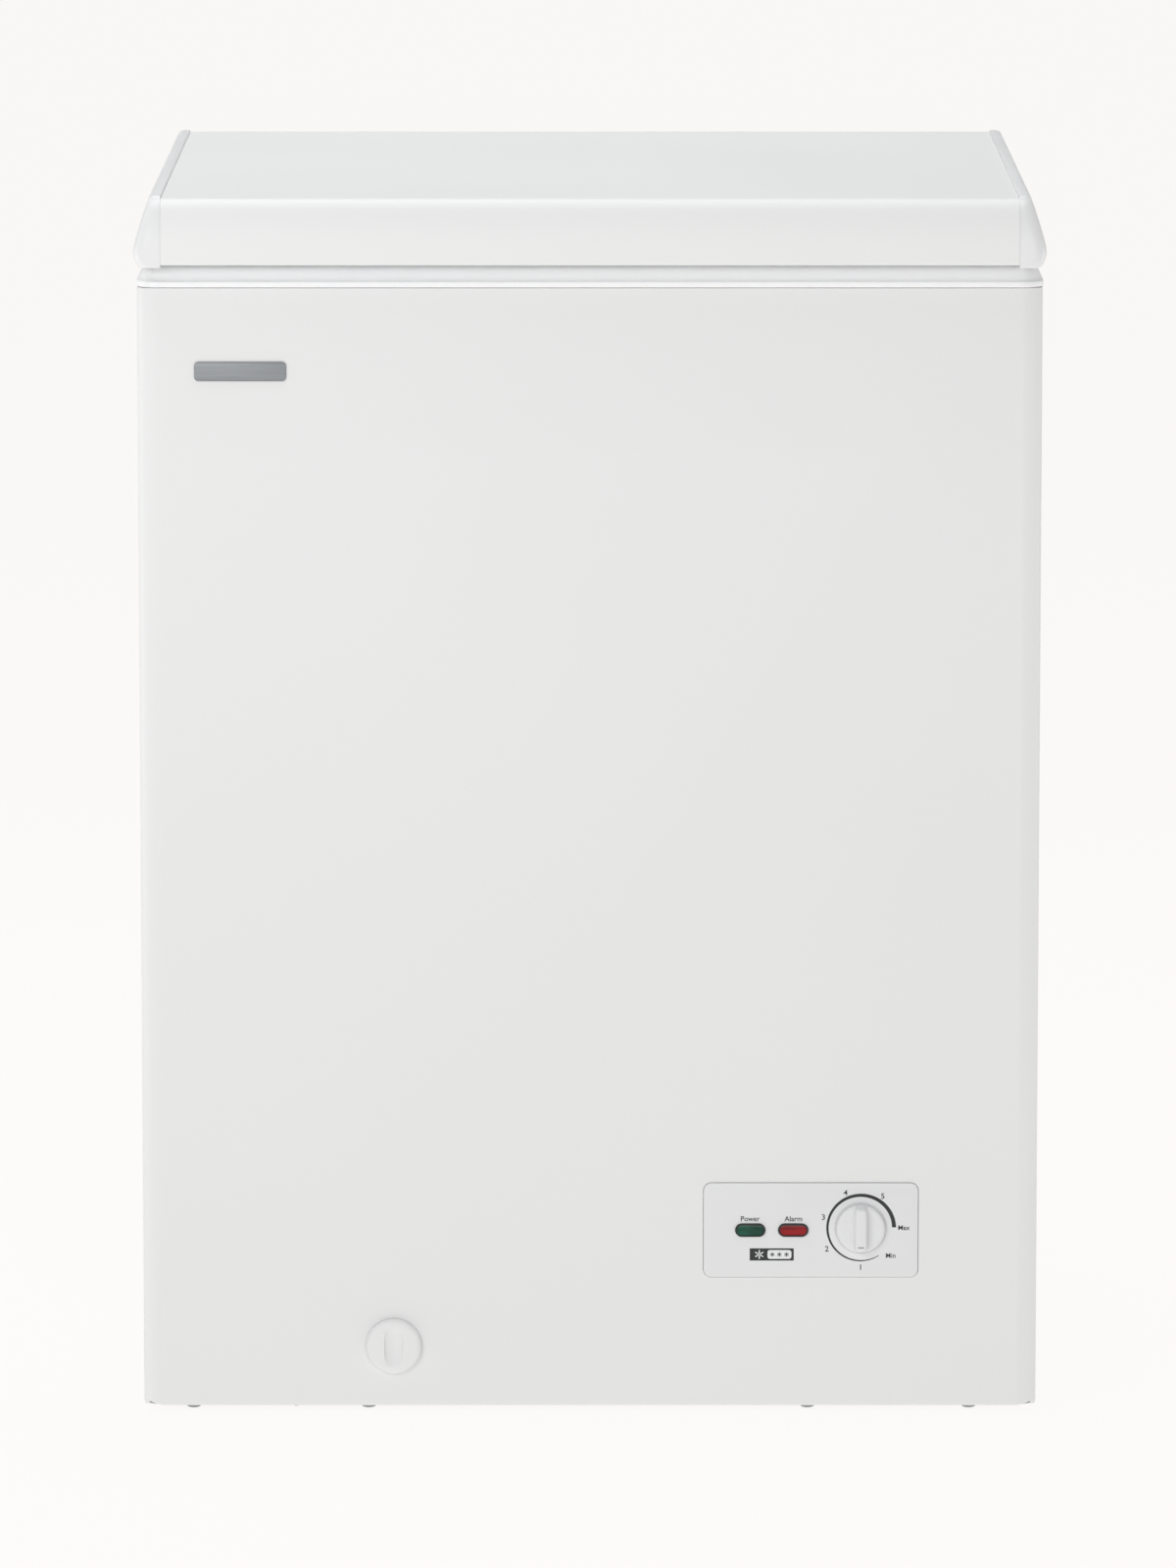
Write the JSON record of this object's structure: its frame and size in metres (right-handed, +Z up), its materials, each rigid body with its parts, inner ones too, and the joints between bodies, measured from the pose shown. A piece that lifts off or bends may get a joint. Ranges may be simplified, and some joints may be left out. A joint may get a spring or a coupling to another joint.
{
  "type": "chest freezer",
  "caption": "Small top-opening chest freezer: painted box with a hinged insulated lid, stepped liner, sliding wire basket, thermostat knob, indicator lamps and drain cap.",
  "frame": {"origin": "on the floor, under the middle of the whole object's bounding box", "axes": "+Z up, -Y out of the front with the control panel, +X to the right as seen from the front"},
  "size_m": [0.622, 0.559, 0.845],
  "materials": {
    "white_paint": "gloss",
    "white_plastic": "satin",
    "grey_plastic": "matte",
    "aluminium_liner": "satin",
    "polyurethane_foam": "matte",
    "copper_tube": "satin",
    "black_paint": "satin",
    "black_plastic": "matte",
    "zinc_plated_steel": "satin",
    "white_rubber": "matte",
    "dark_rubber": "matte",
    "green_lens": "gloss",
    "red_lens": "gloss",
    "satin_badge": "satin",
    "coated_wire": "gloss"
  },
  "bodies": {
    "cabinet": {"outer_wrap": "white_paint", "hinge_base_left": "white_paint", "hinge_base_right": "white_paint", "rear_panel": "zinc_plated_steel", "base_pan": "zinc_plated_steel", "compressor_mount_plate": "zinc_plated_steel", "thermostat_body": "zinc_plated_steel", "thermostat_spindle": "zinc_plated_steel", "hinge_pin_left": "zinc_plated_steel", "hinge_pin_right": "zinc_plated_steel", "glide_front_outer_left": "grey_plastic", "glide_front_inner_left": "grey_plastic", "glide_front_inner_right": "grey_plastic", "glide_front_outer_right": "grey_plastic", "glide_rear_left": "grey_plastic", "glide_rear_right": "grey_plastic", "drain_spout": "grey_plastic", "rear_grille": "grey_plastic", "control_box": "grey_plastic", "top_collar": "white_plastic", "control_fascia": "white_plastic", "tank_liner": "aluminium_liner", "evaporator_coil": "aluminium_liner", "foam_core": "polyurethane_foam", "condenser_coil": "copper_tube", "filter_drier": "copper_tube", "suction_tube": "copper_tube", "discharge_tube": "copper_tube", "capillary_tube": "copper_tube", "compressor_shell": "black_paint", "compressor_grommet_front_left": "dark_rubber", "compressor_grommet_front_right": "dark_rubber", "compressor_grommet_rear_left": "dark_rubber", "compressor_grommet_rear_right": "dark_rubber", "start_relay_cover": "black_plastic", "cord_gland": "black_plastic", "wiring_harness": "black_plastic", "power_lamp": "green_lens", "alarm_lamp": "red_lens", "name_plate": "satin_badge"},
    "lid": {"lid_top_skin": "white_paint", "lid_rear_rail": "white_plastic", "lid_end_cap_right": "white_plastic", "lid_end_cap_left": "white_plastic", "lid_foam": "polyurethane_foam", "lid_inner_liner": "white_plastic", "lid_gasket": "white_rubber", "hinge_leaf_left": "white_paint", "hinge_leaf_right": "white_paint"},
    "thermostat_knob": {"thermostat_knob": "white_plastic"},
    "drain_cap": {"drain_cap": "white_plastic"},
    "drain_plug": {"drain_plug": "white_rubber"},
    "basket": {"basket_floor": "coated_wire", "basket_wall_front": "coated_wire", "basket_wall_rear": "coated_wire", "basket_wall_left": "coated_wire", "basket_wall_right": "coated_wire"},
    "hanger_front": {"basket_hanger_front": "coated_wire"},
    "hanger_rear": {"basket_hanger_rear": "coated_wire"}
  },
  "joints": [
    {"name": "lid_hinge", "type": "hinge", "parent": "cabinet", "child": "lid", "pos_m": [0, 0.271, 0.793], "axis": [-1, 0, 0], "range_deg": [0, 80]},
    {"name": "thermostat_turn", "type": "hinge", "parent": "cabinet", "child": "thermostat_knob", "pos_m": [0.1871, -0.2686, 0.1307], "axis": [0, -1, 0], "range_deg": [-269, 47]},
    {"name": "drain_cap_pull", "type": "slide", "parent": "cabinet", "child": "drain_cap", "axis": [0, -1, 0], "range_m": [0, 0.03]},
    {"name": "drain_plug_pull", "type": "slide", "parent": "cabinet", "child": "drain_plug", "axis": [0, 0, 1], "range_m": [0, 0.04]},
    {"name": "basket_slide", "type": "slide", "parent": "cabinet", "child": "basket", "axis": [1, 0, 0], "range_m": [0, 0.24]},
    {"name": "hanger_front_fold", "type": "hinge", "parent": "basket", "child": "hanger_front", "pos_m": [-0.133, -0.19125, 0.733], "axis": [-1, 0, 0], "range_deg": [0, 100]},
    {"name": "hanger_rear_fold", "type": "hinge", "parent": "basket", "child": "hanger_rear", "pos_m": [-0.133, 0.18325, 0.733], "axis": [1, 0, 0], "range_deg": [0, 100]}
  ]
}
